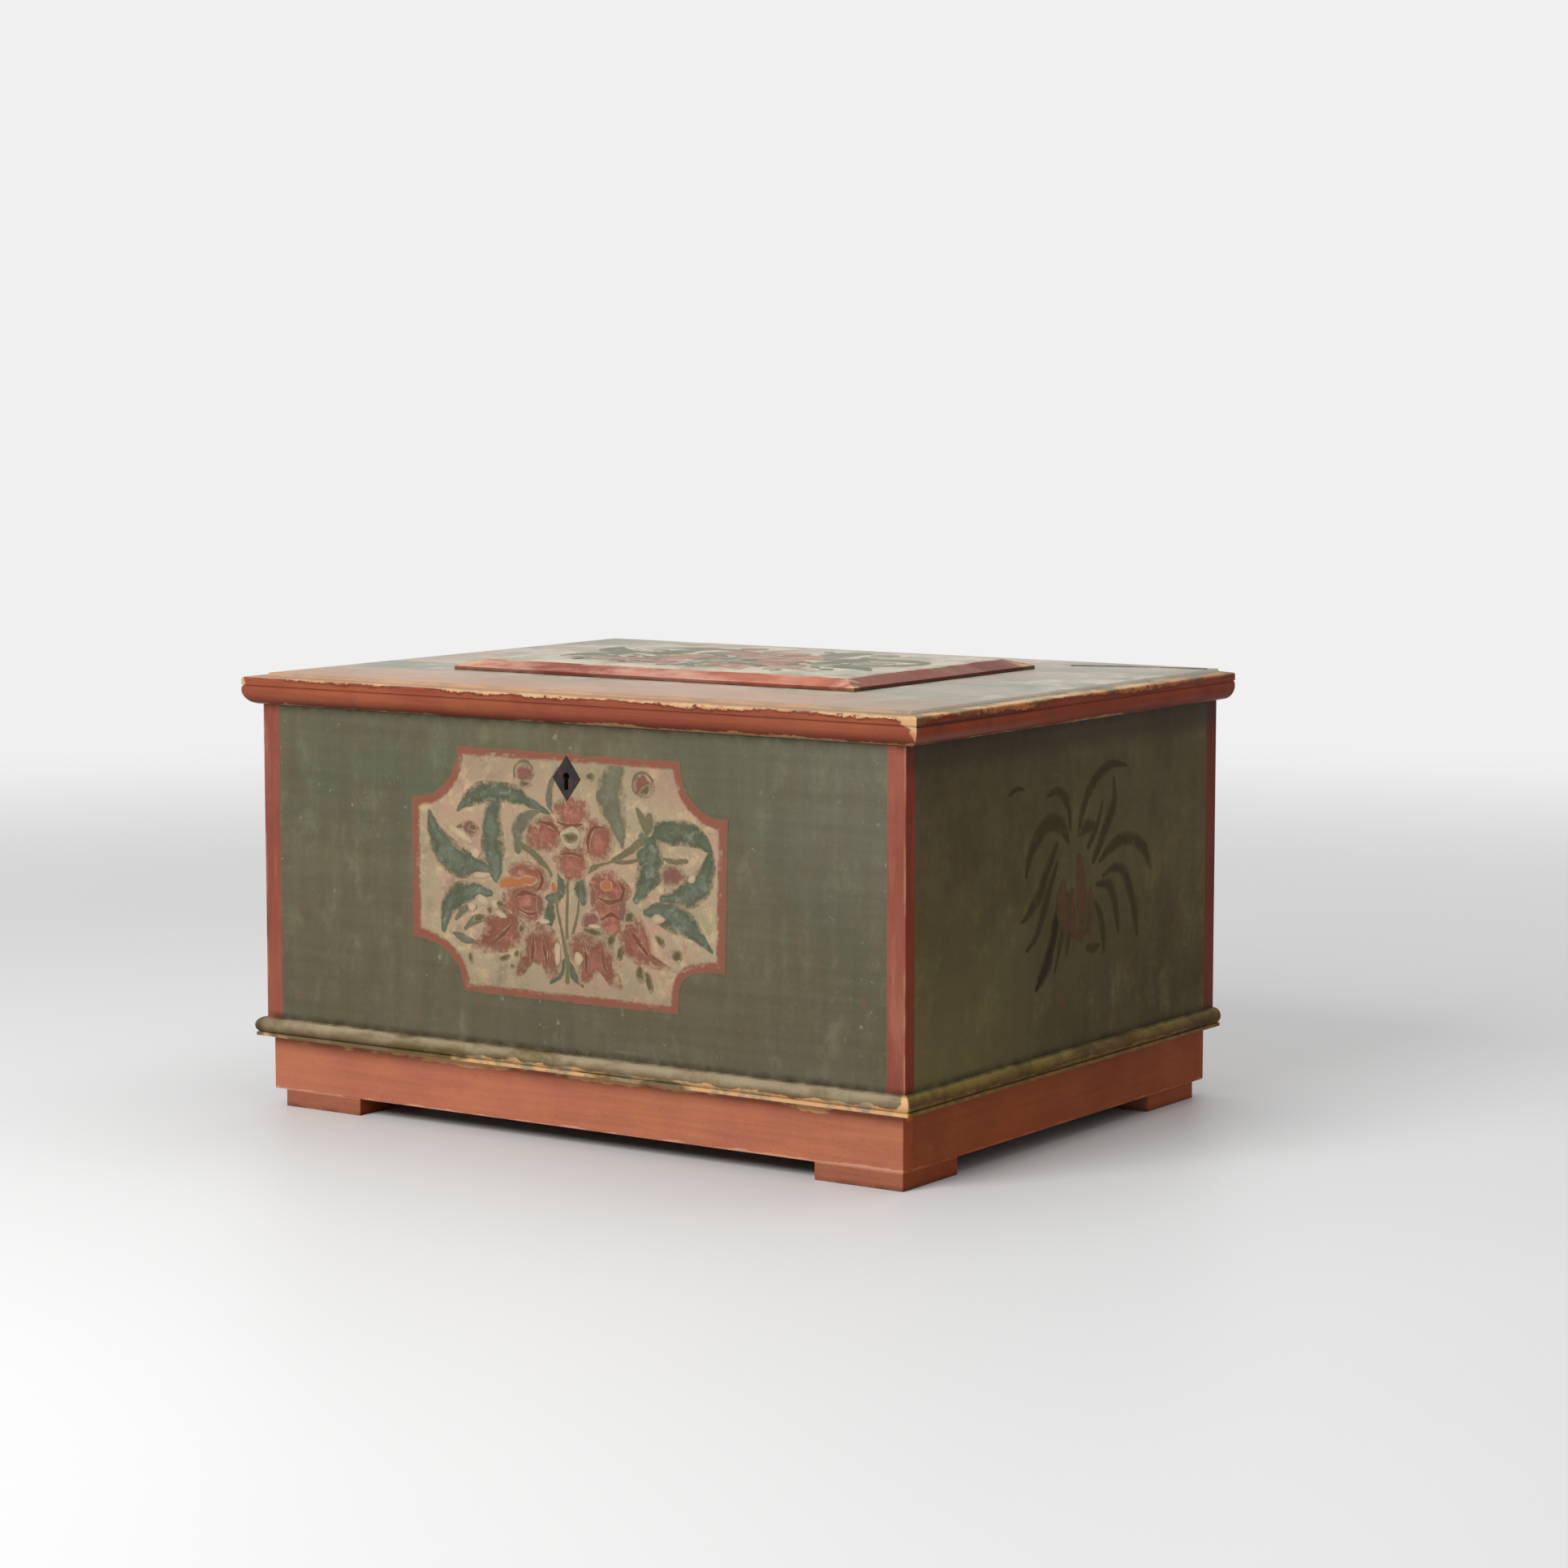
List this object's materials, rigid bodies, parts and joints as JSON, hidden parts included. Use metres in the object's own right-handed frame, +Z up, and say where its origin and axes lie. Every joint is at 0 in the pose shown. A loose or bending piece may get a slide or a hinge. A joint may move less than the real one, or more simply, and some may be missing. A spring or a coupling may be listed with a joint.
{
  "type": "storage chest",
  "caption": "Painted board chest on a low plinth with foot blocks, moulded lid on strap hinges, raised lid panel, inner till, and an iron lock with a sliding bolt.",
  "frame": {"origin": "middle of the bounding box's footprint, at floor level under the foot blocks", "axes": "+X along the length to the viewer's right, +Y from the front to the back, +Z up"},
  "size_m": [0.86, 0.658, 0.483],
  "materials": {
    "green_paint": "worn matte paint",
    "back_paint": "bare aged pine",
    "lid_paint": "worn matte paint",
    "red_paint": "worn matte paint",
    "olive_paint": "worn matte paint",
    "bare_pine": "bare aged pine",
    "forged_iron": "forged, dark",
    "sheet_iron": "dark sheet iron",
    "worn_iron": "rubbed bright where it slides"
  },
  "bodies": {
    "case": {"front_board": "green_paint", "back_board": "back_paint", "left_end_board": "green_paint", "right_end_board": "green_paint", "till_side": "bare_pine", "till_floor": "bare_pine", "bottom_board_front": "bare_pine", "bottom_board_middle": "bare_pine", "bottom_board_rear": "bare_pine", "base_moulding_front": "olive_paint", "base_moulding_right": "olive_paint", "base_moulding_left": "olive_paint", "plinth_front": "red_paint", "plinth_back": "red_paint", "plinth_right": "red_paint", "plinth_left": "red_paint", "foot_front_left": "red_paint", "foot_front_right": "red_paint", "foot_rear_left": "red_paint", "foot_rear_right": "red_paint", "hinge_nails_case": "forged_iron", "hinge_back_strap_left": "forged_iron", "hinge_pin_left": "forged_iron", "hinge_back_strap_right": "forged_iron", "hinge_pin_right": "forged_iron", "lock_nails": "forged_iron", "lock_case": "sheet_iron", "lock_cover": "sheet_iron", "lock_guide": "sheet_iron", "lock_spring": "worn_iron", "escutcheon": "sheet_iron"},
    "lid": {"lid_board_front": "lid_paint", "lid_board_middle": "lid_paint", "lid_board_rear": "lid_paint", "lid_batten_left": "bare_pine", "lid_batten_right": "bare_pine", "lid_moulding_front": "red_paint", "lid_moulding_right": "red_paint", "lid_moulding_left": "red_paint", "raised_panel": "lid_paint", "hinge_nails_lid": "forged_iron", "hinge_lid_strap_left": "forged_iron", "hinge_lid_strap_right": "forged_iron", "lid_staple": "forged_iron", "staple_nails": "forged_iron"},
    "bolt": {"lock_bolt": "worn_iron"}
  },
  "joints": [
    {"name": "lid_hinge", "type": "hinge", "parent": "case", "child": "lid", "pos_m": [0, 0.323, 0.4425], "axis": [-1, 0, 0], "range_deg": [0, 105]},
    {"name": "bolt_slide", "type": "slide", "parent": "case", "child": "bolt", "axis": [-1, 0, 0], "range_m": [0, 0.014]}
  ]
}
